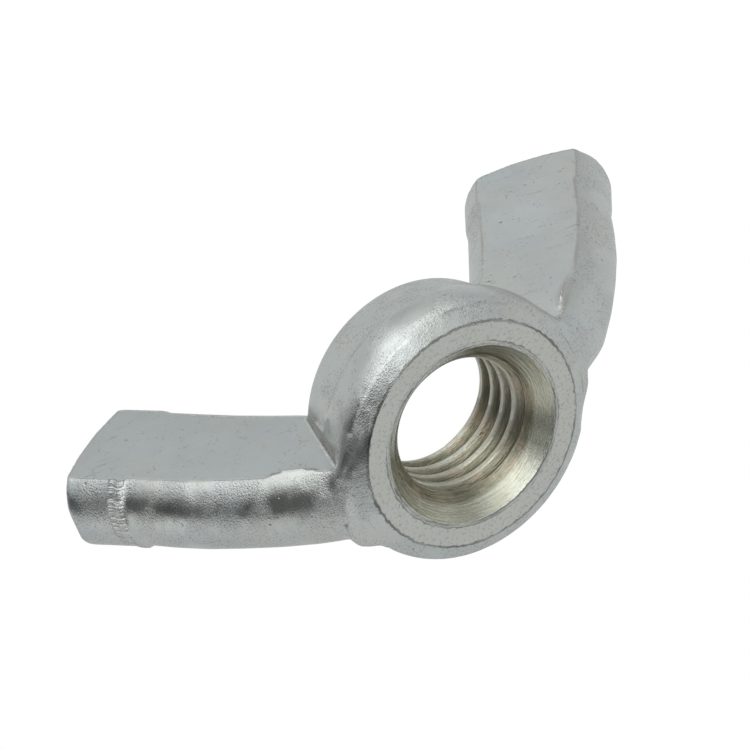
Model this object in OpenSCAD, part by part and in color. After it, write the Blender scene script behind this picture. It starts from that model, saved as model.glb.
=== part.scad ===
// Forged wing nut with square wings and a metric coarse thread.
// The origin is the centre of the bearing face, with the thread axis on +Z
// and the two wings rising to +X and -X.

/* [Thread] */
// Nominal diameter of the thread
thread_d = 16; // [14:1:18]
// Distance from one turn of the thread to the next
pitch = 2; // [1.5:0.25:2.5]
// Diameter of the countersink in the bearing face
mouth_d = 18.8; // [18.6:0.2:20]
// Diameter of the smaller countersink in the top face
top_mouth_d = 17.2; // [16.8:0.2:18.4]

/* [Hub] */
// Largest diameter of the hub
hub_d = 28; // [27.6:0.2:30]
// Height of the hub
hub_h = 12; // [11.5:0.25:14]
// Outside diameter of the flat bearing face
face_d = 23.8; // [22.6:0.2:25]
// Diameter of the hub at its top
top_d = 24.8; // [24:0.2:26.4]

/* [Wings] */
// Overall width across the two wing tips
span = 67.4; // [65:0.2:70]
// Overall height from the bearing face to the top of the wings
rise = 32.3; // [30:0.1:35]
// Thickness between the flat faces of a wing
wing_t = 8; // [7:0.25:9]
// Width of a wing at its tip, over the rounded edges
tip_w = 15.2; // [14.4:0.2:16]
// Width of a wing halfway along, over the rounded edges
waist_w = 14.6; // [13.6:0.2:15.2]
// How far the rounded edges stand out from the flat faces
edge_bulge = 2.2; // [1.6:0.1:2.8]
// Thickness of the rib where a wing's lower edge joins the hub
rib_t = 10; // [9:0.2:11]

/* [Hidden] */
$fn = 96;

zinc = [0.68, 0.69, 0.68];

// thickness of a wing station, and how far a cutter or a joined solid runs past the surface it meets
slice = 0.02;
overlap = 1;

// metric thread form: 60 degree flanks, a quarter-pitch crest and an eighth-pitch root
minor_d = thread_d - 1.0825 * pitch;
crest = pitch / 4;
root = pitch / 8;
sink_angle = 41;
mouth_depth = (mouth_d - minor_d) / 2 / tan(sink_angle);
top_mouth_depth = (top_mouth_d - minor_d) / 2 / tan(45);
thread_mid = (mouth_depth + hub_h - top_mouth_depth) / 2;
full_crests = 4;
groove_count = full_crests + 1;

// hub outline
rim_h = 0.9;
rim_step = 0.5;
rim_d = hub_d - 2 * rim_step;
band_start = 1.9;
band_h = 5.8;
band_r = 11;
band_mid = 3.4;
cone_step = 0.55;
cone_d = hub_d - 2 * cone_step;
top_round = 1.4;

// wing outline, seen along Y: each station is the middle of the wing's width
tip_slope = 28;
waist_slope = 28;
root_slope = 42.5;
tip_round = 1.6;
tip_shrink = 3.4;
waist_back = 7.4;
waist_down = 11.6;
root_in = 0.6;
tip_x = span / 2 + tip_round * sin(tip_slope) - (tip_w / 2) * cos(tip_slope);
tip_z = rise - slice - (tip_w - tip_shrink) / 2 * sin(tip_slope);
waist_x = tip_x - waist_back;
waist_z = tip_z - waist_down;
root_x = hub_d / 2 - root_in;
root_z = 7.9;
root_w = 13.4;
rib_start_r = wing_t / 2;
rib_start_in = 4.2;
rib_root_in = 1.2;
rib_lift = 0.1;
rib_out = (waist_w + root_w) / 4 - rib_start_in;
rib_x = (waist_x + root_x) / 2;
rib_z = (waist_z + root_z) / 2;
rib_slope = (waist_slope + root_slope) / 2;

// one V groove of the thread, as a ring
module thread_ring(z) {
    rotate_extrude()
        polygon([
            [minor_d / 2 - overlap, z - (pitch - crest) / 2],
            [minor_d / 2, z - (pitch - crest) / 2],
            [thread_d / 2, z - root / 2],
            [thread_d / 2, z + root / 2],
            [minor_d / 2, z + (pitch - crest) / 2],
            [minor_d / 2 - overlap, z + (pitch - crest) / 2]
        ]);
}

// the tapped hole with a countersink at each end
module tapped_hole() {
    translate([0, 0, -overlap]) cylinder(d = minor_d, h = hub_h + 2 * overlap);
    translate([0, 0, -slice])
        cylinder(d1 = mouth_d + 2 * slice, d2 = minor_d, h = mouth_depth + slice);
    translate([0, 0, hub_h]) cylinder(d = top_mouth_d, h = 3 * overlap);
    translate([0, 0, hub_h - top_mouth_depth])
        cylinder(d1 = minor_d, d2 = top_mouth_d + 2 * slice, h = top_mouth_depth + slice);
    for (i = [0 : groove_count - 1])
        thread_ring(thread_mid + (i - full_crests / 2) * pitch);
}

// lower half of the hub: flat face, sloping rim and a convex band
module hub_band() {
    rotate_extrude()
        intersection() {
            polygon([
                [0, 0],
                [face_d / 2, 0],
                [rim_d / 2, rim_h],
                [hub_d / 2, band_start],
                [hub_d / 2, band_h],
                [0, band_h]
            ]);
            translate([hub_d / 2 - band_r, band_mid]) circle(r = band_r);
        }
}

// upper half of the hub: a plain cone with a rounded top edge
module hub_cone() {
    rotate_extrude()
        polygon(concat(
            [[0, band_h - overlap], [cone_d / 2, band_h - overlap], [cone_d / 2, band_h]],
            [for (a = [0 : 15 : 90])
                [top_d / 2 - top_round * (1 - cos(a)), hub_h - top_round * (1 - sin(a))]],
            [[0, hub_h]]
        ));
}

// cross-section of a wing: flat faces with a rounded edge on each side
module wing_section(w, t) {
    edge_r = (t * t / 4 + edge_bulge * edge_bulge) / (2 * edge_bulge);
    intersection() {
        square([w, t], center = true);
        union() {
            square([w - 2 * edge_bulge, t], center = true);
            for (side = [-1, 1])
                translate([side * (w / 2 - edge_r), 0]) circle(r = edge_r, $fn = 40);
        }
    }
}

// a thin slice of the wing at one station along it
module station(x, z, slope, w, t) {
    translate([x, 0, z])
        rotate([0, slope, 0])
            linear_extrude(slice) wing_section(w, t);
}

// one wing, from inside the hub to its rounded tip
module wing() {
    hull() {
        station(tip_x, tip_z, tip_slope, tip_w - tip_shrink, wing_t - tip_round);
        station(tip_x - tip_round * sin(tip_slope), tip_z - tip_round * cos(tip_slope),
                tip_slope, tip_w, wing_t);
        station(waist_x, waist_z, waist_slope, waist_w, wing_t);
    }
    hull() {
        station(waist_x, waist_z, waist_slope, waist_w, wing_t);
        station(root_x, root_z, root_slope, root_w, wing_t);
    }
    hull() {
        translate([rib_x + rib_out * cos(rib_slope), 0, rib_z - rib_out * sin(rib_slope)])
            sphere(r = rib_start_r, $fn = 32);
        translate([hub_d / 2 - rib_root_in, 0, rib_t / 2 + rib_lift]) sphere(d = rib_t, $fn = 32);
    }
}

// the whole nut, forged in one piece and then drilled and tapped
module wing_nut() {
    color(zinc)
        difference() {
            union() {
                hub_band();
                hub_cone();
                wing();
                mirror([1, 0, 0]) wing();
            }
            tapped_hole();
        }
}

wing_nut();
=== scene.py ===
from math import cos, sin, radians, pi, sqrt, tan

import bpy
from mathutils import Matrix, Vector


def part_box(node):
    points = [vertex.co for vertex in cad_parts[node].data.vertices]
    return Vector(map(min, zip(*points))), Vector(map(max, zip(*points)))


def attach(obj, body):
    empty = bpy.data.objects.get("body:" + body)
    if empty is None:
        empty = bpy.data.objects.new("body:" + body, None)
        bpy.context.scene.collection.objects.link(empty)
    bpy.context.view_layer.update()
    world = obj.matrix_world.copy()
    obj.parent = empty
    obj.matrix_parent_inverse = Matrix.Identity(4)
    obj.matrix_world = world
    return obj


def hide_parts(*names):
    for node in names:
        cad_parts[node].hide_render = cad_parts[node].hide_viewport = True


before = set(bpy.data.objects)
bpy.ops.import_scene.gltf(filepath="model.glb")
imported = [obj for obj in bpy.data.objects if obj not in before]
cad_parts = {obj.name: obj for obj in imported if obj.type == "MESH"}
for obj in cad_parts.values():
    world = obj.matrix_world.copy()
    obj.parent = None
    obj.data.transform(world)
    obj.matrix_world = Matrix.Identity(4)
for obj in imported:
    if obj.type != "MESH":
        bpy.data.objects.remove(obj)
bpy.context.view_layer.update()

mm = 0.001  # everything is drawn in millimetres and brought to metres at the end
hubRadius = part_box("wing_nut")[1][1] / mm
weld = 0.0005  # points closer than this become one


def clearSelection():
    if bpy.context.object and bpy.context.object.mode != "OBJECT":
        bpy.ops.object.mode_set(mode="OBJECT")
    bpy.ops.object.select_all(action="DESELECT")


def pick(piece):  # makes one object the only selected and active one
    clearSelection()
    piece.select_set(True)
    bpy.context.view_layer.objects.active = piece


def tracePath(name, points):  # one vertex, extruded from point to point
    clearSelection()
    bpy.ops.mesh.primitive_plane_add(size=1, location=(0, 0, 0))
    piece = bpy.context.object
    piece.name = name
    bpy.ops.object.mode_set(mode="EDIT")
    bpy.ops.mesh.select_mode(type="VERT")
    bpy.ops.mesh.merge(type="CENTER")
    bpy.ops.mesh.select_all(action="SELECT")
    bpy.ops.transform.translate(value=points[0])
    here = Vector(points[0])
    for point in points[1:]:
        step = Vector(point) - here
        bpy.ops.mesh.extrude_region_move(TRANSFORM_OT_translate={"value": step})
        here = Vector(point)
    return piece


def latheSolid(name, outline, steps):  # outline of (radius, height), from axis to axis
    piece = tracePath(name, [(r, 0, z) for r, z in outline])
    bpy.ops.mesh.select_all(action="SELECT")
    bpy.ops.mesh.spin(steps=steps, angle=2 * pi, center=(0, 0, 0), axis=(0, 0, 1))
    bpy.ops.mesh.select_all(action="SELECT")
    bpy.ops.mesh.remove_doubles(threshold=weld)
    bpy.ops.mesh.normals_make_consistent(inside=False)
    bpy.ops.object.mode_set(mode="OBJECT")
    return piece


def pulledSolid(name, points, pull, middle=(0, 0, 0), draft=1.0):  # closed outline, filled, then pulled out
    piece = tracePath(name, points)
    bpy.ops.mesh.select_all(action="SELECT")
    bpy.ops.mesh.edge_face_add()
    bpy.ops.mesh.extrude_region_move(TRANSFORM_OT_translate={"value": pull})
    bpy.ops.transform.resize(value=(draft, draft, draft), center_override=middle)
    bpy.ops.mesh.select_all(action="SELECT")
    bpy.ops.mesh.normals_make_consistent(inside=False)
    bpy.ops.object.mode_set(mode="OBJECT")
    return piece


def combine(piece, tool, how):
    pick(piece)
    cut = piece.modifiers.new(how.lower(), "BOOLEAN")
    cut.operation = how
    cut.solver = "EXACT"
    cut.object = tool
    bpy.ops.object.modifier_apply(modifier=cut.name)
    bpy.data.objects.remove(tool)


def arc(cx, cz, radius, start, end, count):  # points on a round stretch, angles in degrees
    stops = [start + (end - start) * i / (count - 1) for i in range(count)]
    return [(cx + radius * cos(radians(a)), cz + radius * sin(radians(a))) for a in stops]


hub = {
    "height": 12.0,
    "faceRadius": 11.9,
    "rimRadius": 13.6,
    "rimHeight": 0.95,
    "bandTop": 5.8,  # height of the crease between the convex band and the cone
    "bandRadius": 9.0,
    "bandMiddle": 3.25,
    "bandArc": (-11, 14, 7),  # from and to in degrees, and how many points
    "coneRadius": 13.3,
    "topRadius": 12.35,
    "topRound": 1.4,
    "topArc": (8, 90, 8),
    "below": 0.6,  # spare height under the bearing face, trimmed off later
    "steps": 128,
    "rimSharper": 0.15,  # the truing cut leans this much further out than the rim
    "rimBack": 0.06,
    "rimReach": (0.8, 0.75),  # how far that cut runs below the face and above it
    "rimSteps": 192,
}


def makeHub():
    print("hub blank")
    slope = (hub["rimRadius"] - hub["faceRadius"]) / hub["rimHeight"]
    outline = [(0, -hub["below"]), (hub["faceRadius"] - hub["below"] * slope, -hub["below"])]
    outline += [(hub["rimRadius"], hub["rimHeight"])]
    outline += arc(hubRadius - hub["bandRadius"], hub["bandMiddle"], hub["bandRadius"], *hub["bandArc"])
    outline += [(hub["coneRadius"], hub["bandTop"])]
    edge = hub["topRound"]
    outline += arc(hub["topRadius"] - edge, hub["height"] - edge, edge, *hub["topArc"])
    outline += [(0, hub["height"])]
    return latheSolid("hubBlank", outline, hub["steps"])


wing = {
    "lean": 31.0,  # degrees that a wing leans out from upright
    # along the wing, its outer edge, its inner edge, half thickness that the round edges aim for
    "stations": [(3.0, 10.2, 0.9, 5.9), (8.5, 12.3, 0.8, 5.75), (10.5, 13.2, 0.7, 5.75),
                 (13.0, 14.05, 0.5, 5.75), (17.0, 15.05, 0.3, 5.75), (21.0, 15.7, 0.5, 5.7),
                 (25.0, 16.1, 0.75, 5.75), (29.0, 16.15, 0.85, 5.8), (33.0, 15.95, 0.95, 5.85),
                 (38.0, 16.2, 1.0, 5.75), (42.0, 16.4, 1.0, 5.75)],
    "step": 1.2,
    "offset": 0.35,  # the dies meet a little off the thread axis
    "flats": (-4.03, 4.6),  # where the flat sides lie across the thickness
    # the pressed flat's edge along the hub and round the tip, then along the lower edge
    "pocketUpper": [(13.5, 2.3), (13.2, 3.1), (12.1, 8.1), (10.9, 13.1), (8.0, 16.0), (8.0, 38.0),
                    (30.0, 44.0), (46.0, 34.0)],
    "pocketLower": [(36.0, 16.0), (26.0, 12.6), (23.0, 11.3), (21.6, 9.9), (20.4, 8.7), (19.1, 7.8),
                    (17.4, 6.8), (16.0, 5.5), (15.2, 4.3), (14.6, 2.9)],
    "pocketDepth": 5.0,
    "pocketDraft": 1.06,
    "pocketMiddle": (25.0, 18.0),
    "sectionPoints": 64,
    "tipAt": (38.4, 39.0),  # right wing, left wing
    "tipCrown": 0.55,
    "tipFlare": ((2.0, 9.0), (0.3, 5.0)),  # how far the end cut stands clear, how far below the tip
    "tipOuterRound": 1.2,
    "tipInnerRound": 0.9,
    "collarReach": 4.9,
    "collarProud": 0.2,
    "webHeights": (0.95, 3.6),  # web between wing root and rim
    "web": [(11.9, 6.7), (12.6, 5.8), (13.5, 4.9), (14.2, 3.9), (14.4, 2.0)],
    "markAt": 32.7,  # raised mark across the left wing's outer edge
    "markProud": 0.34,
    "markWide": 0.9,
    "markBevel": 0.28,
    "rootTrim": ((13.8, 1.5, 0.95), (-0.35, -0.6, 0.72)),  # a place on the cut and its inward direction
    "lobe": [(-12.3, 6.6), (-12.7, 6.0), (-13.4, 5.6), (-14.15, 5.2), (-14.8, 4.6), (-15.2, 3.8),
             (-15.5, 2.8)],  # flash left in one corner
    "lobeInside": [(-15.6, 1.5), (-12.0, 1.5), (-10.0, 6.0)],
    "lobeHeights": (1.1, 3.4),
}


def sectionAt(along):  # centre, half width and half thickness of the bar
    stops = wing["stations"]
    for (a0, o0, i0, t0), (a1, o1, i1, t1) in zip(stops, stops[1:]):
        if along <= a1:
            share = (along - a0) / (a1 - a0)
            break
    outer, inner, thick = o0 + (o1 - o0) * share, i0 + (i1 - i0) * share, t0 + (t1 - t0) * share
    proud = wing["collarProud"] if along > wing["tipAt"][0] - wing["collarReach"] else 0
    return (outer + inner) / 2, (outer - inner) / 2 + proud, thick + proud


def barStops():
    first, last = wing["stations"][0][0], wing["stations"][-1][0]
    collar = wing["tipAt"][0] - wing["collarReach"]
    count = int((last - first) / wing["step"])
    stops = [first + (last - first) * i / count for i in range(count + 1)]
    stops = [s for s in stops if abs(s - collar) > 0.5]
    return sorted(stops + [collar - 0.2, collar + 0.2])


def makeBar():  # an oval bar along Z, one ring of points for each stop
    stops = barStops()
    centre, halfWidth, thick = sectionAt(stops[0])
    clearSelection()
    bpy.ops.mesh.primitive_circle_add(vertices=wing["sectionPoints"], radius=1, fill_type="NGON",
                                      location=(centre, wing["offset"], stops[0]))
    bar = bpy.context.object
    bar.name = "wingBar"
    bpy.ops.object.transform_apply(location=True, rotation=True, scale=True)
    bpy.ops.object.mode_set(mode="EDIT")
    bpy.ops.transform.resize(value=(halfWidth, thick, 1), center_override=(centre, wing["offset"], stops[0]))
    for before, along in zip(stops, stops[1:]):
        nextCentre, nextHalf, nextThick = sectionAt(along)
        bpy.ops.mesh.extrude_region_move(
            TRANSFORM_OT_translate={"value": (nextCentre - centre, 0, along - before)})
        bpy.ops.transform.resize(value=(nextHalf / halfWidth, nextThick / thick, 1),
                                 center_override=(nextCentre, wing["offset"], along))
        centre, halfWidth, thick = nextCentre, nextHalf, nextThick
    bpy.ops.mesh.select_all(action="SELECT")
    bpy.ops.mesh.normals_make_consistent(inside=False)
    bpy.ops.object.mode_set(mode="OBJECT")
    return bar


def tipOutline(tipAt):  # the wing seen flat, with its rounded corners and crowned end
    centre, halfWidth, thick = sectionAt(tipAt)
    outer, inner = centre + halfWidth, centre - halfWidth
    ro, ri = wing["tipOuterRound"], wing["tipInnerRound"]
    (clear, low), (close, high) = wing["tipFlare"]
    outline = [(inner - clear, 0), (outer + clear, 0), (outer + clear, tipAt - low)]
    outline += [(outer + close, tipAt - high)]
    outline += arc(outer - ro, tipAt - ro, ro, 0, 80, 8)
    outline += [(centre + 2, tipAt + wing["tipCrown"]), (centre - 1.5, tipAt + wing["tipCrown"] * 0.9)]
    outline += arc(inner + ri, tipAt - ri - 0.5, ri, 108, 180, 7)
    outline += [(inner - close, tipAt - high), (inner - clear, tipAt - low)]
    return [(x, -9, z) for x, z in outline]


def pocketOutline(y):  # the flat that the die presses into each side, open past the edges
    return [(x, y, z) for x, z in wing["pocketUpper"] + wing["pocketLower"]]


def bisected(piece, place, inward):  # cuts a flat and drops what lies outside it
    pick(piece)
    bpy.ops.object.mode_set(mode="EDIT")
    bpy.ops.mesh.select_all(action="SELECT")
    bpy.ops.mesh.bisect(plane_co=place, plane_no=inward, use_fill=True, clear_inner=True)
    bpy.ops.object.mode_set(mode="OBJECT")


def makeWing(tipAt, marked=False):
    print("wing blank")
    bar = makeBar()
    if marked:
        addMark(bar)
    combine(bar, pulledSolid("tipPlate", tipOutline(tipAt), (0, 18, 0)), "INTERSECT")
    pick(bar)
    bar.rotation_euler = (0, radians(wing["lean"]), 0)
    bpy.ops.object.transform_apply(location=True, rotation=True, scale=True)
    bisected(bar, (0, 0, hub["rimHeight"]), (0, 0, 1))
    return bar


def makeWeb():
    low, high = wing["webHeights"]
    outline = [(x, y, low) for x, y in wing["web"]]
    outline += [(x, -y, low) for x, y in reversed(wing["web"])]
    outline += [(6, -8, low), (6, 8, low)]
    return pulledSolid("rootWeb", outline, (0, 0, high - low), (10, 0, high), 0.92)


def makeLobe():
    low, high = wing["lobeHeights"]
    outline = [(x, y, low) for x, y in wing["lobe"] + wing["lobeInside"]]
    return pulledSolid("flashLobe", outline, (0, 0, high - low), (-13, 3.5, high), 0.9)


def addMark(bar):  # a narrow raised band round the outer edge only
    centre, halfWidth, thick = sectionAt(wing["markAt"])
    clearSelection()
    bpy.ops.mesh.primitive_cylinder_add(vertices=96, radius=1, depth=wing["markWide"],
                                        location=(centre, wing["offset"], wing["markAt"]))
    mark = bpy.context.object
    mark.name = "edgeMark"
    bpy.ops.object.transform_apply(location=True, rotation=True, scale=True)
    bpy.ops.object.mode_set(mode="EDIT")
    bpy.ops.transform.resize(value=(halfWidth + wing["markProud"], thick + wing["markProud"], 1),
                             center_override=(centre, wing["offset"], wing["markAt"]))
    bpy.ops.mesh.bisect(plane_co=(centre + 2, 0, 0), plane_no=(1, 0, 0), use_fill=True, clear_inner=True)
    bpy.ops.object.mode_set(mode="OBJECT")
    bevel = mark.modifiers.new("bevel", "BEVEL")
    bevel.width = wing["markBevel"]
    bevel.segments = 3
    bpy.ops.object.modifier_apply(modifier=bevel.name)
    combine(bar, mark, "UNION")


def mirrored(piece, name):
    pick(piece)
    bpy.ops.object.duplicate()
    twin = bpy.context.object
    twin.name = name
    twin.scale = (-1, 1, 1)
    bpy.ops.object.transform_apply(location=False, rotation=False, scale=True)
    bpy.ops.object.mode_set(mode="EDIT")
    bpy.ops.mesh.select_all(action="SELECT")
    bpy.ops.mesh.normals_make_consistent(inside=False)
    bpy.ops.object.mode_set(mode="OBJECT")
    return twin


forging = {
    "voxel": 0.24,
    "blankSmooth": 4,
    "corner": (13.6, 4.9),  # where a wing's side meets the hub
    "cornerReach": 3.6,
    "rootSmooth": 160,
    "lobeShift": (-0.4, 0.2),  # from the left corner to the middle of the lobe
    "lobeReach": 2.4,
    "lobeSmooth": 40,
    "dents": [(-15.3, 1.6), (15.4, -4.2)],  # where the lobe and the right pocket run out
    "dentReach": 1.1,
    "dentSmooth": 16,
    "softFrom": 0.1,  # heights between which the softening acts
    "softTo": 8.5,
    "edgeSmooth": 1,
    "fineVoxel": 0.19,
    "keep": 0.5,  # share of the faces left after thinning
    "smoothAngle": 24,  # degrees above which an edge stays sharp
}


def remeshed(piece, size):
    pick(piece)
    remesh = piece.modifiers.new("remesh", "REMESH")
    remesh.mode = "VOXEL"
    remesh.voxel_size = size
    bpy.ops.object.modifier_apply(modifier=remesh.name)


def softened(piece, passes, group=""):
    smooth = piece.modifiers.new("smooth", "SMOOTH")
    smooth.factor = 0.5
    smooth.iterations = passes
    smooth.vertex_group = group
    bpy.ops.object.modifier_apply(modifier=smooth.name)


def softenedNear(piece, places, reach, passes):  # smooths round some upright lines, fading outwards
    group = piece.vertex_groups.new(name="near")
    for v in piece.data.vertices:
        away = min(sqrt((v.co.x - x) ** 2 + (v.co.y - y) ** 2) for x, y in places)
        above, below = v.co.z - forging["softFrom"], forging["softTo"] - v.co.z
        weight = (1 - away / reach) * min(1, max(0, above), max(0, below) / 2)
        if weight > 0.01:
            group.add([v.index], weight ** 0.5, "REPLACE")
    softened(piece, passes, "near")
    piece.vertex_groups.clear()


def forgeBlank():
    body = makeHub()
    right = makeWing(wing["tipAt"][0])
    bisected(right, *wing["rootTrim"])
    wide = makeWing(wing["tipAt"][1], marked=True)
    left = mirrored(wide, "leftWing")
    bpy.data.objects.remove(wide)
    web = makeWeb()
    for part in (mirrored(web, "leftWeb"), web, right, left):
        combine(body, part, "UNION")
    print("forging: blends")
    remeshed(body, forging["voxel"])
    softened(body, forging["blankSmooth"])
    x, y = forging["corner"]
    softenedNear(body, [(x, y), (x, -y), (-x, y), (-x, -y)], forging["cornerReach"], forging["rootSmooth"])
    combine(body, makeLobe(), "UNION")
    print("forging: pockets")
    for flat in wing["flats"]:
        outside = flat + (wing["pocketDepth"] if flat > 0 else -wing["pocketDepth"])
        middle = (wing["pocketMiddle"][0], outside, wing["pocketMiddle"][1])
        pocket = pulledSolid("pocket", pocketOutline(flat), (0, outside - flat, 0), middle, wing["pocketDraft"])
        twin = mirrored(pocket, "leftPocket")
        combine(body, pocket, "DIFFERENCE")
        combine(body, twin, "DIFFERENCE")
    remeshed(body, forging["fineVoxel"])
    softened(body, forging["edgeSmooth"])
    aside, across = forging["lobeShift"]
    softenedNear(body, [(-x + aside, y + across)], forging["lobeReach"], forging["lobeSmooth"])
    softenedNear(body, forging["dents"], forging["dentReach"], forging["dentSmooth"])
    fewer = body.modifiers.new("fewer", "DECIMATE")
    fewer.ratio = forging["keep"]
    bpy.ops.object.modifier_apply(modifier=fewer.name)
    bisected(body, (0, 0, 0), (0, 0, 1))
    return body


thread = {
    "major": 16.0,
    "pitch": 2.0,
    "cutDepth": 1.0825,  # of a metric thread across the bore, in pitches
    "weld": 0.001,
    "mouth": 18.8,
    "mouthAngle": 41.0,
    "topMouth": 17.2,
    "topAngle": 45.0,
    "steps": 96,
    "turns": 10,
    "startTurn": 0.3,
    "sinkSteps": 160,
    "sinkOver": 0.05,  # a countersink runs past the face, so that no edge lies in it
    "sinkClear": 5.0,
}


def makeTap():  # a long right-hand screw, drawn as one pitch of profile wound up by the Screw modifier
    pitch, major = thread["pitch"], thread["major"] / 2
    minor = major - thread["cutDepth"] * pitch / 2
    base = -2 * pitch
    profile = [(minor, 0, base), (minor, 0, base + pitch / 4), (major, 0, base + pitch * 9 / 16),
               (major, 0, base + pitch * 11 / 16), (minor, 0, base + pitch)]
    tap = tracePath("tap", profile)
    bpy.ops.object.mode_set(mode="OBJECT")
    screw = tap.modifiers.new("screw", "SCREW")
    screw.steps = screw.render_steps = thread["steps"]
    screw.screw_offset = pitch
    screw.iterations = thread["turns"]
    screw.use_merge_vertices = True
    screw.merge_threshold = thread["weld"]
    pick(tap)
    bpy.ops.object.modifier_apply(modifier=screw.name)
    bpy.ops.object.mode_set(mode="EDIT")
    bpy.ops.mesh.select_all(action="SELECT")
    bpy.ops.mesh.remove_doubles(threshold=thread["weld"])
    bpy.ops.object.mode_set(mode="OBJECT")
    half = base + thread["turns"] * pitch / 2
    for side in (-1, 1):  # closes one end at a time with a cone of faces
        bpy.ops.object.mode_set(mode="EDIT")
        bpy.ops.mesh.select_all(action="DESELECT")
        bpy.ops.mesh.select_non_manifold()
        bpy.ops.object.mode_set(mode="OBJECT")
        for vertex in tap.data.vertices:
            if (vertex.co.z - half) * side < 0:
                vertex.select = False
        bpy.ops.object.mode_set(mode="EDIT")
        bpy.ops.mesh.select_mode(type="VERT")
        bpy.ops.mesh.extrude_edges_move(TRANSFORM_OT_translate={"value": (0, 0, side * pitch)})
        bpy.ops.mesh.merge(type="CENTER")
        bpy.ops.object.mode_set(mode="OBJECT")
    bpy.ops.object.mode_set(mode="EDIT")
    bpy.ops.mesh.select_all(action="SELECT")
    bpy.ops.mesh.normals_make_consistent(inside=False)
    bpy.ops.object.mode_set(mode="OBJECT")
    tap.rotation_euler = (0, 0, radians(360 * thread["startTurn"]))
    bpy.ops.object.transform_apply(location=True, rotation=True, scale=True)
    return tap


def makeCountersink(name, mouth, angle, faceHeight, up):
    way = 1 if up else -1
    depth = mouth / 2 / tan(radians(angle))
    over = thread["sinkOver"]
    wide = mouth / 2 + over * tan(radians(angle))
    outline = [(0, faceHeight - way * depth), (wide, faceHeight + way * over),
               (wide, faceHeight + way * thread["sinkClear"]), (0, faceHeight + way * thread["sinkClear"])]
    return latheSolid(name, outline, thread["sinkSteps"])


def makeRimTool():  # trues the edge of the bearing face
    slope = (hub["rimRadius"] - hub["faceRadius"]) / hub["rimHeight"] + hub["rimSharper"]
    start = hub["faceRadius"] - hub["rimBack"]
    below, above = hub["rimReach"]
    outline = [(start - below * slope, -below), (start + above * slope, above)]
    outline += [(start + above * slope, -below)]
    ring = tracePath("rimTool", [(r, 0, z) for r, z in outline + outline[:1]])
    bpy.ops.mesh.select_all(action="SELECT")
    bpy.ops.mesh.spin(steps=hub["rimSteps"], angle=2 * pi, center=(0, 0, 0), axis=(0, 0, 1))
    bpy.ops.mesh.select_all(action="SELECT")
    bpy.ops.mesh.remove_doubles(threshold=weld)
    bpy.ops.mesh.normals_make_consistent(inside=False)
    bpy.ops.object.mode_set(mode="OBJECT")
    return ring


def machine(body):
    print("countersinks and thread")
    combine(body, makeRimTool(), "DIFFERENCE")
    combine(body, makeTap(), "DIFFERENCE")
    sink = makeCountersink("bottomSink", thread["mouth"], thread["mouthAngle"], 0, False)
    combine(body, sink, "DIFFERENCE")
    topSink = makeCountersink("topSink", thread["topMouth"], thread["topAngle"], hub["height"], True)
    combine(body, topSink, "DIFFERENCE")


zinc = {
    "colour": (0.72, 0.73, 0.72, 1),
    "dullColour": (0.51, 0.525, 0.525, 1),
    "coolColour": (0.64, 0.70, 0.75, 1),
    "flatColour": (0.42, 0.44, 0.445, 1),
    "warmColour": (0.74, 0.71, 0.65, 1),
    "boreColour": (0.68, 0.665, 0.55, 1),
    "rustColour": (0.60, 0.47, 0.37, 1),
    "threadShadeColour": (0.30, 0.28, 0.205, 1),
    "creaseLineShadeColour": (0.44, 0.41, 0.385, 1),
    "stripColour": (0.42, 0.38, 0.355, 1),
    "pitAndShadeColour": (0.22, 0.22, 0.21, 1),
    # painted shade in creases and recesses
    "creaseShadeColour": (0.20, 0.18, 0.155, 1),
    # grains to the millimetre
    "peel": 5.2,  # skin of the forging
    "patch": 0.23,  # where that skin is rougher
    "wave": 0.52,
    "mottle": 0.17,
    "scratch": 1.5,
    "tint": ((0.095, "coolColour"), (0.13, "warmColour")),
    "grit": 2.8,
    "specks": (3.6, 0.5),  # the specks and the clusters they come in
    "hair": (2.6, 0.35),
    "hairTurn": 24.0,
    "pit": (0.9, 0.42),
    "tool": 4.8,
    "toolStretch": 0.6,
    "strokes": 2.8,
    "wander": 1.5,
    "broken": 2.6,
    "rust": 0.45,
    # dark rings on the bearing face, the first painted shade along the crease at its outer edge, the others
    # marks round the mouth: radius, half width, least and greatest strength
    "rings": [(hub["faceRadius"] + 0.02, 0.21, 0.5, 0.95), (thread["mouth"] / 2 + 0.13, 0.18, 0.3, 0.9),
              (thread["mouth"] / 2 + 0.42, 0.14, 0.0, 0.75)],
    "roundGloss": 0.13,
    "flatGloss": 0.36,
    "boreShine": 0.15,  # the bore is this much smoother than the flats
    "creaseReach": 0.7,
    "bumpHeight": 0.04,
}


def addNode(tree, kind, **settings):
    made = tree.nodes.new(kind)
    for name, setting in settings.items():
        setattr(made, name, setting)
    return made


def feed(tree, socket, source):  # a number, a colour, or another node's output
    if hasattr(source, "links"):
        tree.links.new(source, socket)
    else:
        socket.default_value = source


def sums(tree, operation, *sources):
    made = addNode(tree, "ShaderNodeMath", operation=operation)
    for socket, source in zip(made.inputs, sources):
        feed(tree, socket, source)
    return made.outputs[0]


def times(tree, first, *others):
    for other in others:
        first = sums(tree, "MULTIPLY", first, other)
    return first


def plus(tree, first, *others):
    for other in others:
        first = sums(tree, "ADD", first, other)
    return first


def minus(tree, first, second):
    return sums(tree, "SUBTRACT", first, second)


def unsigned(tree, source):
    return sums(tree, "ABSOLUTE", source)


def ramp(tree, source, start, end, low=0.0, high=1.0):  # soft step between two places
    made = addNode(tree, "ShaderNodeMapRange", interpolation_type="SMOOTHSTEP")
    feed(tree, made.inputs["Value"], source)
    for name, setting in (("From Min", start), ("From Max", end), ("To Min", low), ("To Max", high)):
        made.inputs[name].default_value = setting
    return made.outputs[0]


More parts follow.
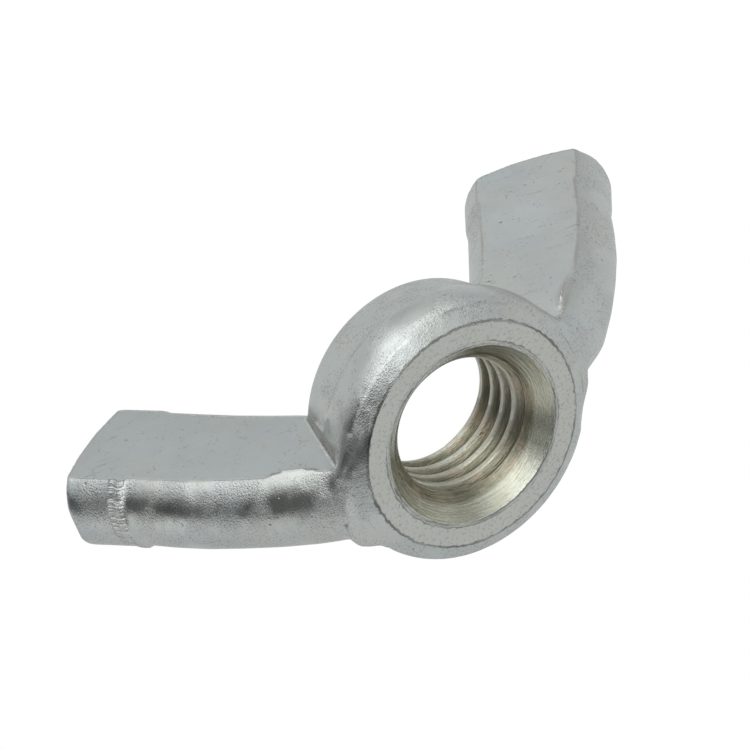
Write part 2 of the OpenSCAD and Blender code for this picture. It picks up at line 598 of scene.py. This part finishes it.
def blend(tree, amount, first, second):  # colours
    made = addNode(tree, "ShaderNodeMix", data_type="RGBA")
    feed(tree, made.inputs["Factor"], amount)
    rgba = [i for i in made.inputs if i.type == "RGBA"]
    feed(tree, rgba[0], first)
    feed(tree, rgba[1], second)
    return [o for o in made.outputs if o.type == "RGBA"][0]


def grain(tree, place, scale, detail, stretch=(1, 1, 1), turn=0.0):
    mapping = addNode(tree, "ShaderNodeMapping", vector_type="TEXTURE")
    mapping.inputs["Rotation"].default_value = (0, radians(turn), 0)
    mapping.inputs["Scale"].default_value = [1 / s for s in stretch]
    feed(tree, mapping.inputs["Vector"], place)
    noise = addNode(tree, "ShaderNodeTexNoise")
    noise.inputs["Scale"].default_value = scale
    noise.inputs["Detail"].default_value = detail
    noise.inputs["Roughness"].default_value = 0.62
    tree.links.new(mapping.outputs[0], noise.inputs["Vector"])
    return noise.outputs["Fac"]


def nutPlaces(tree):  # where a point is, in millimetres, and which of the nut's surfaces it is on
    coords = addNode(tree, "ShaderNodeTexCoord")
    scaled = addNode(tree, "ShaderNodeVectorMath", operation="SCALE")
    scaled.inputs["Scale"].default_value = 1 / mm
    tree.links.new(coords.outputs["Object"], scaled.inputs[0])
    split, facing = addNode(tree, "ShaderNodeSeparateXYZ"), addNode(tree, "ShaderNodeSeparateXYZ")
    tree.links.new(scaled.outputs[0], split.inputs[0])
    tree.links.new(coords.outputs["Normal"], facing.inputs[0])
    x, y, height = split.outputs
    radius = sums(tree, "SQRT", plus(tree, times(tree, x, x), times(tree, y, y)))
    turned = addNode(tree, "ShaderNodeCombineXYZ")  # runs round the bore, for tool marks
    feed(tree, turned.inputs[0], radius)
    feed(tree, turned.inputs[1], times(tree, sums(tree, "ARCTAN2", y, x), zinc["toolStretch"]))
    feed(tree, turned.inputs[2], height)
    mouth, major, top = thread["mouth"] / 2, thread["major"] / 2, hub["height"]
    sideways, steep = unsigned(tree, facing.outputs[0]), unsigned(tree, facing.outputs[1])
    inBore = times(tree, ramp(tree, radius, mouth + 0.05, mouth - 0.1),
                   ramp(tree, height, top - 0.02, top - 0.12))
    onFlat = times(tree, ramp(tree, steep, 0.975, 0.997), ramp(tree, radius, 10.5, 11.5))
    onFace = times(tree, ramp(tree, facing.outputs[2], -0.97, -0.995), ramp(tree, height, 0.3, 0.1))
    calm = sums(tree, "MAXIMUM", sums(tree, "MAXIMUM", onFlat, onFace), inBore)
    return {
        "place": scaled.outputs[0],
        "turned": turned.outputs[0],
        "x": x,
        "y": y,
        "height": height,
        "radius": radius,
        "sideways": sideways,
        "steep": steep,
        "inBore": inBore,
        "inThread": ramp(tree, radius, major + 0.2, major - 0.2),
        "onFlat": onFlat,
        "onFace": onFace,
        "calm": calm,
        "onRound": minus(tree, 1.0, calm),
    }


def nearCreases(tree, at):  # along the edges of the flats, wider on the right wing; the second mask carries the painted shade along the creases
    low, high = wing["flats"]
    offMiddle = unsigned(tree, minus(tree, at["y"], (high + low) / 2))
    offFlat = unsigned(tree, minus(tree, offMiddle, (high - low) / 2))
    onWing = ramp(tree, at["radius"], 14.5, 16.0)
    beside = times(tree, ramp(tree, offFlat, 0.3, 0.06), ramp(tree, at["x"], -4.0, 4.0, 0.15, 1.0))
    beside = times(tree, beside, at["onRound"], onWing)
    turning = times(tree, ramp(tree, at["steep"], 0.84, 0.9), ramp(tree, at["steep"], 0.992, 0.97), onWing)
    return beside, sums(tree, "MAXIMUM", turning, beside)


def faceRingsAndEdgeShade(tree, at, colour):  # dark rings on the bearing face, broken in places: painted shade along the crease at its outer edge, and marks round the mouth
    onRing = ramp(tree, at["height"], 0.6, 0.3)
    wander = grain(tree, at["place"], zinc["wander"], 4.0)
    broken = ramp(tree, grain(tree, at["turned"], zinc["broken"], 4.0), 0.42, 0.56)
    for middle, width, least, most in zinc["rings"]:
        wandered = plus(tree, times(tree, wander, 0.6), middle - 0.3)
        offRing = unsigned(tree, minus(tree, at["radius"], wandered))
        ring = times(tree, ramp(tree, offRing, width, width * 0.3), onRing)
        strength = plus(tree, times(tree, broken, most - least), least)
        colour = blend(tree, times(tree, ring, strength), colour, zinc["pitAndShadeColour"])
    return colour


def bandCreaseShade(tree, at, wave):  # broken line of painted shade along the crease where the band meets the cone
    line = ramp(tree, unsigned(tree, minus(tree, at["height"], hub["bandTop"] - 0.05)), 0.22, 0.05)
    onHub = times(tree, ramp(tree, at["radius"], 12.8, 13.1), ramp(tree, at["radius"], 13.9, 13.7))
    return times(tree, line, onHub, ramp(tree, wave, 0.42, 0.58, 0.0, 0.6))


def rootStrip(tree, at):  # the stained wall beside a wing's root
    across, along = unsigned(tree, at["y"]), unsigned(tree, at["x"])
    strip = times(tree, ramp(tree, at["sideways"], 0.6, 0.85), ramp(tree, across, 3.8, 4.1))
    strip = times(tree, strip, ramp(tree, across, 6.4, 5.6), ramp(tree, along, 13.7, 13.2))
    return times(tree, strip, ramp(tree, at["height"], 2.0, 3.0))


def markStrokes(tree, at):  # fine strokes on the left wing's raised mark, along the wing
    lean = radians(wing["lean"])
    along = minus(tree, times(tree, at["height"], cos(lean)), times(tree, at["x"], sin(lean)))
    low, high = wing["markAt"] - 0.6, wing["markAt"] + 1.4
    onMark = times(tree, ramp(tree, along, low, low + 0.2), ramp(tree, along, high, high - 0.3))
    onMark = times(tree, onMark, at["onRound"], ramp(tree, at["x"], -26.0, -26.5))
    strokes = grain(tree, at["place"], zinc["strokes"], 1.0, (0.3, 1, 0.02), -wing["lean"])
    return times(tree, ramp(tree, strokes, 0.4, 0.6), onMark)


def skinMarks(tree, at):  # specks in clusters, and a few hair scratches
    place = at["place"]
    fine, cluster = zinc["specks"]
    specks = ramp(tree, grain(tree, place, fine, 3.0), 0.6, 0.66)
    specks = times(tree, specks, ramp(tree, grain(tree, place, cluster, 3.0), 0.47, 0.6))
    fine, cluster = zinc["hair"]
    hair = ramp(tree, grain(tree, place, fine, 2.0, (0.08, 1, 1), zinc["hairTurn"]), 0.63, 0.68)
    hair = times(tree, hair, ramp(tree, grain(tree, place, cluster, 2.0), 0.5, 0.62))
    return sums(tree, "MAXIMUM", specks, times(tree, hair, 0.6))


def skinPits(tree, at):
    fine, cluster = zinc["pit"]
    pits = addNode(tree, "ShaderNodeTexVoronoi")
    pits.inputs["Scale"].default_value = fine
    tree.links.new(at["place"], pits.inputs["Vector"])
    some = ramp(tree, grain(tree, at["place"], cluster, 3.0), 0.6, 0.68)
    return times(tree, ramp(tree, pits.outputs["Distance"], 0.2, 0.1), some)


def makeZinc():
    print("zinc finish")
    finish = bpy.data.materials.new("zincSteel")
    finish.use_nodes = True
    tree = finish.node_tree
    shader = tree.nodes["Principled BSDF"]
    at = nutPlaces(tree)
    place, inBore, onRound = at["place"], at["inBore"], at["onRound"]

    peel = grain(tree, place, zinc["peel"], 4.0)
    patchy = ramp(tree, grain(tree, place, zinc["patch"], 2.0), 0.38, 0.6, 0.45, 1.7)
    wave = grain(tree, place, zinc["wave"], 1.0)
    mottle = grain(tree, place, zinc["mottle"], 4.0)
    scratch = grain(tree, place, zinc["scratch"], 3.0, (0.25, 1, 1.3))
    toolMarks = grain(tree, at["turned"], zinc["tool"], 4.0)
    pit = skinPits(tree, at)
    beside, alongCrease = nearCreases(tree, at)
    # the AO node finds creases and recesses; below, it darkens the colour there as painted shade and makes them
    # rougher
    crease = addNode(tree, "ShaderNodeAmbientOcclusion", samples=6)
    crease.inputs["Distance"].default_value = zinc["creaseReach"] * mm
    hidden = crease.outputs["AO"]

    # plating
    tone = minus(tree, ramp(tree, mottle, 0.35, 0.65, 0.7, 0.95), times(tree, at["onFlat"], 0.4))
    colour = blend(tree, tone, zinc["dullColour"], zinc["colour"])
    for scale, tint in zinc["tint"]:
        cloud = ramp(tree, grain(tree, place, scale, 3.0), 0.45, 0.62, 0.0, 0.26)
        colour = blend(tree, cloud, colour, zinc[tint])
    # flats pulled towards a darker colour: partly their own duller finish, partly painted shade that makes the
    # left wing's flats darker
    flatDullingAndShade = times(tree, at["onFlat"], ramp(tree, at["x"], 4.0, -4.0, 0.2, 0.62))  # more on the left wing
    colour = blend(tree, flatDullingAndShade, colour, zinc["flatColour"])
    colour = blend(tree, times(tree, at["onFace"], 0.5), colour, zinc["warmColour"])

    # grit, skin and marks
    grit = times(tree, at["onFace"], ramp(tree, grain(tree, place, zinc["grit"], 4.0), 0.46, 0.38), 0.3)
    colour = blend(tree, grit, colour, zinc["pitAndShadeColour"])
    cavity = times(tree, ramp(tree, peel, 0.47, 0.39), onRound, patchy, 0.24)
    colour = blend(tree, cavity, colour, zinc["pitAndShadeColour"])
    colour = blend(tree, times(tree, skinMarks(tree, at), 0.65), colour, zinc["pitAndShadeColour"])

    # bore, with painted shade in the thread
    stained = times(tree, inBore, ramp(tree, mottle, 0.3, 0.6, 0.5, 1.0))
    colour = blend(tree, stained, colour, zinc["boreColour"])
    colour = blend(tree, times(tree, pit, 0.7), colour, zinc["pitAndShadeColour"])
    # painted shade: the thread's flanks and roots darkened, varied by the tool marks
    threadRootShade = times(tree, at["inThread"], ramp(tree, at["radius"], 6.94, 7.2),
                   ramp(tree, toolMarks, 0.35, 0.65, 0.7, 1.0))
    colour = blend(tree, threadRootShade, colour, zinc["threadShadeColour"])

    # painted shade along creases and in recesses, rings, rust and stains
    # painted shade: a darker line along the creases at the edges of the flats
    edge = times(tree, alongCrease, ramp(tree, mottle, 0.35, 0.6, 0.2, 0.7))
    colour = blend(tree, edge, colour, zinc["creaseLineShadeColour"])
    # painted shade at the bearing face's outer edge, and marks round the mouth
    colour = faceRingsAndEdgeShade(tree, at, colour)
    rusty = times(tree, at["inThread"], ramp(tree, grain(tree, place, zinc["rust"], 3.0), 0.48, 0.62), 0.4)
    colour = blend(tree, rusty, colour, zinc["rustColour"])
    # painted shade along the crease between band and cone
    colour = blend(tree, bandCreaseShade(tree, at, wave), colour, zinc["pitAndShadeColour"])
    colour = blend(tree, times(tree, rootStrip(tree, at), 0.8), colour, zinc["stripColour"])
    # painted shade: darker colour in creases and recesses, from the AO node
    colour = blend(tree, ramp(tree, hidden, 0.75, 0.35, 0.0, 0.75), colour, zinc["creaseShadeColour"])
    feed(tree, shader.inputs["Base Color"], colour)

    gloss = plus(tree, times(tree, at["calm"], zinc["flatGloss"] - zinc["roundGloss"]), zinc["roundGloss"])
    gloss = minus(tree, gloss, times(tree, inBore, zinc["boreShine"]))
    gloss = plus(tree, gloss, ramp(tree, hidden, 0.85, 0.5, 0.0, 0.45), times(tree, beside, 0.35))
    gloss = plus(tree, gloss, times(tree, onRound, ramp(tree, mottle, 0.3, 0.7, -0.03, 0.05)))
    feed(tree, shader.inputs["Roughness"], gloss)

    skin = times(tree, peel, patchy, plus(tree, times(tree, onRound, 0.75), 0.3))
    skin = plus(tree, skin, times(tree, wave, onRound, 0.7), times(tree, scratch, at["calm"], 0.25))
    cut = plus(tree, times(tree, inBore, 2.4), times(tree, at["onFace"], 0.5))
    skin = plus(tree, skin, times(tree, toolMarks, cut), times(tree, markStrokes(tree, at), 3.0))
    skin = minus(tree, skin, times(tree, pit, 1.2))
    bump = addNode(tree, "ShaderNodeBump")
    bump.inputs["Strength"].default_value = 1.0
    bump.inputs["Distance"].default_value = zinc["bumpHeight"] * mm
    feed(tree, bump.inputs["Height"], skin)
    tree.links.new(bump.outputs[0], shader.inputs["Normal"])
    shader.inputs["Metallic"].default_value = 1.0
    return finish


def makeNut():
    nut = forgeBlank()
    machine(nut)
    nut.name = "wingNut"
    pick(nut)
    nut.scale = (mm, mm, mm)
    bpy.ops.object.transform_apply(location=False, rotation=False, scale=True)
    bpy.ops.object.shade_smooth_by_angle(angle=radians(forging["smoothAngle"]))
    nut.data.materials.clear()
    nut.data.materials.append(makeZinc())
    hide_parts("wing_nut")
    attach(nut, "root")
    print("wing nut", len(nut.data.polygons), "faces")
    return nut


nut = makeNut()


cameraPlace = {
    "azimuth": -116.09,
    "elevation": -51.35,
    "roll": 54.58,
    "distance": 0.4513,
    "lens": 216.0,
    "aim": (-0.00113, -0.0005, 0.01676),
    "clip": (0.01, 10),
}


def makeCamera():
    print("camera")
    az, el = radians(cameraPlace["azimuth"]), radians(cameraPlace["elevation"])
    back = Vector((cos(el) * cos(az), cos(el) * sin(az), sin(el)))
    right = Vector((0, 0, 1)).cross(back).normalized()
    up = back.cross(right)
    roll = Matrix.Rotation(-radians(cameraPlace["roll"]), 4, "Z")
    turn = Matrix((right, up, back)).transposed().to_4x4() @ roll
    data = bpy.data.cameras.new("camera")
    data.lens = cameraPlace["lens"]
    data.sensor_width = 36
    data.clip_start, data.clip_end = cameraPlace["clip"]
    camera = bpy.data.objects.new("camera", data)
    bpy.context.scene.collection.objects.link(camera)
    place = Vector(cameraPlace["aim"]) + back * cameraPlace["distance"]
    camera.matrix_world = Matrix.Translation(place) @ turn
    bpy.context.scene.camera = camera


makeCamera()


studio = {
    "up": (0.30, -0.951, -0.07),  # the soft light comes mostly from this side
    "front": (-0.495, -0.092, -0.864),
    "right": (0.816, 0.294, -0.498),
    "surround": 0.6,
    "tint": (0.96, 1.0, 0.99, 1),
    "backdrop": (1.0, 1.0, 1.0, 1),
    # bright cards: azimuth from the front, elevation, inner and outer half width, how much each adds
    "cards": [(-92, 68, 24, 46, 0.56), (-138, 55, 8, 27, 0.3), (8, 35, 10, 26, 0.95), (-30, 48, 12, 32, 0.28),
              (44, 46, 8, 24, 0.28), (-62, -32, 8, 24, 0.1)],
    # dark surroundings: azimuth, elevation, inner and outer half width, how much is left
    "shades": [(-78, -4, 12, 26, 0.32), (-46, 3, 16, 30, 0.2), (-14, -14, 10, 24, 0.3),
               (14, -7, 11, 27, 0.16), (-100, -18, 6, 18, 0.78), (80, 48, 12, 28, 0.5),
               (165, 46, 15, 40, 0.85), (-160, -75, 20, 50, 0.9)],
    "floorSize": 2.0,
    "floorDrop": 0.00005,
    "floorGlow": 0.42,
}


def toward(azimuth, elevation):  # direction in the object's frame
    up, front, right = (Vector(studio[k]).normalized() for k in ("up", "front", "right"))
    a, e = radians(azimuth), radians(elevation)
    return up * sin(e) + (front * cos(a) + right * sin(a)) * cos(e)


def makeWorld():
    print("studio")
    world = bpy.data.worlds.new("studio")
    bpy.context.scene.world = world
    world.use_nodes = True
    tree = world.node_tree
    out = tree.nodes["World Output"]
    lit = tree.nodes["Background"]
    look = addNode(tree, "ShaderNodeTexCoord").outputs["Generated"]

    def near(azimuth, elevation, inner, outer):
        dot = addNode(tree, "ShaderNodeVectorMath", operation="DOT_PRODUCT")
        tree.links.new(look, dot.inputs[0])
        dot.inputs[1].default_value = toward(azimuth, elevation)
        return ramp(tree, dot.outputs["Value"], cos(radians(outer)), cos(radians(inner)))

    level = studio["surround"]
    for azimuth, elevation, inner, outer, left in studio["shades"]:
        taken = times(tree, near(azimuth, elevation, inner, outer), 1 - left)
        level = times(tree, level, minus(tree, 1.0, taken))
    for azimuth, elevation, inner, outer, adds in studio["cards"]:
        level = plus(tree, level, times(tree, near(azimuth, elevation, inner, outer), adds))
    tree.links.new(level, lit.inputs["Strength"])
    lit.inputs["Color"].default_value = studio["tint"]
    plain = addNode(tree, "ShaderNodeBackground")
    plain.inputs["Color"].default_value = studio["backdrop"]
    mix = addNode(tree, "ShaderNodeMixShader")
    tree.links.new(addNode(tree, "ShaderNodeLightPath").outputs["Is Camera Ray"], mix.inputs[0])
    tree.links.new(lit.outputs[0], mix.inputs[1])
    tree.links.new(plain.outputs[0], mix.inputs[2])
    tree.links.new(mix.outputs[0], out.inputs["Surface"])


def makeFloor():  # seen from above only
    clearSelection()
    bpy.ops.mesh.primitive_plane_add(size=studio["floorSize"], location=(0, 0, -studio["floorDrop"]))
    floor = bpy.context.object
    floor.name = "floor"
    paper = bpy.data.materials.new("palePaper")
    paper.use_nodes = True
    tree = paper.node_tree
    shader = tree.nodes["Principled BSDF"]
    shader.inputs["Base Color"].default_value = (0.9, 0.9, 0.9, 1)
    shader.inputs["Roughness"].default_value = 0.9
    shader.inputs["Emission Color"].default_value = (1, 1, 1, 1)
    shader.inputs["Emission Strength"].default_value = studio["floorGlow"]
    clear = addNode(tree, "ShaderNodeBsdfTransparent")
    mix = addNode(tree, "ShaderNodeMixShader")
    tree.links.new(addNode(tree, "ShaderNodeNewGeometry").outputs["Backfacing"], mix.inputs[0])
    tree.links.new(shader.outputs[0], mix.inputs[1])
    tree.links.new(clear.outputs[0], mix.inputs[2])
    tree.links.new(mix.outputs[0], tree.nodes["Material Output"].inputs["Surface"])
    floor.data.materials.append(paper)
    for ray in ("visible_diffuse", "visible_glossy", "visible_transmission", "visible_shadow"):
        setattr(floor, ray, False)


makeWorld()
makeFloor()
bpy.context.scene.view_settings.view_transform = "Standard"
